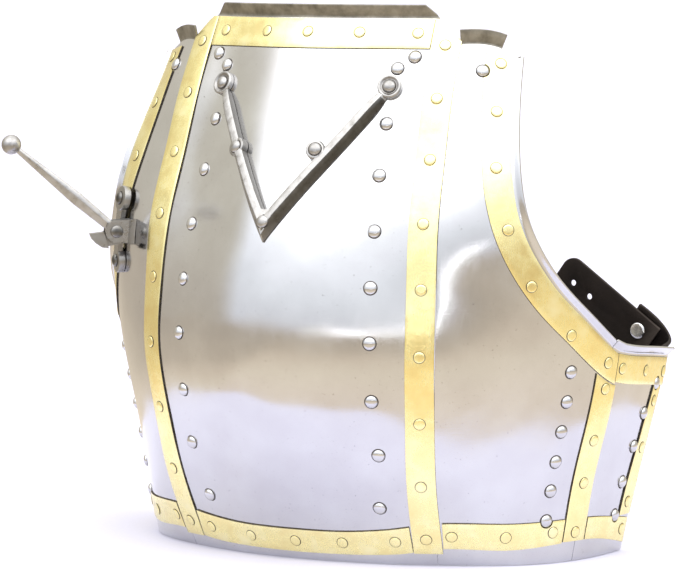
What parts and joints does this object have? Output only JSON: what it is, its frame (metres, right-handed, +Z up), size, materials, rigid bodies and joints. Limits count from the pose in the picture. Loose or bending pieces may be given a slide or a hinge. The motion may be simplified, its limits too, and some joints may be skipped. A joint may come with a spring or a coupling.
{
  "type": "cuirass breastplate",
  "caption": "Rounded plate breastplate of riveted steel plates under brass strips, with a V stop rib, a folding lance rest and a leather back strap.",
  "frame": {"origin": "middle of the sheet's lower edge at the front centre, on the plane that the breastplate stands on", "axes": "+X towards the wearer's left, +Y towards the wearer's back, +Z up"},
  "size_m": [0.3935, 0.2468, 0.3653],
  "materials": {
    "steel": "polished steel",
    "forged_steel": "filed and worn steel",
    "brass": "polished brass",
    "leather": "black leather"
  },
  "bodies": {
    "cuirass": {"centre_plate": "steel", "side_plate_left": "steel", "side_plate_right": "steel", "rear_plate_left": "steel", "rear_plate_right": "steel", "neck_strip": "brass", "front_strip_left": "brass", "front_strip_right": "brass", "armhole_strip_left": "brass", "armhole_strip_right": "brass", "rear_top_strip_left": "brass", "rear_top_strip_right": "brass", "seam_strip_left": "brass", "seam_strip_right": "brass", "rear_edge_strip_left": "brass", "rear_edge_strip_right": "brass", "waist_strip_centre": "brass", "waist_strip_side_left": "brass", "waist_strip_side_right": "brass", "waist_strip_rear_left": "brass", "waist_strip_rear_right": "brass", "stop_rib": "forged_steel", "lance_bracket": "forged_steel", "lance_pin": "steel", "strap_tab_left": "leather", "strap_tab_right": "leather", "back_strap_left": "leather", "strap_rivet_left": "steel", "buckle_right": "steel"},
    "lance_arm": {"lance_arm": "forged_steel"}
  },
  "joints": [
    {"name": "lance_arm_fold", "type": "hinge", "parent": "cuirass", "child": "lance_arm", "pos_m": [-0.13492, -0.01331, 0.21218], "axis": [-0.6428, 0.766, 0], "range_deg": [0, 50]}
  ]
}
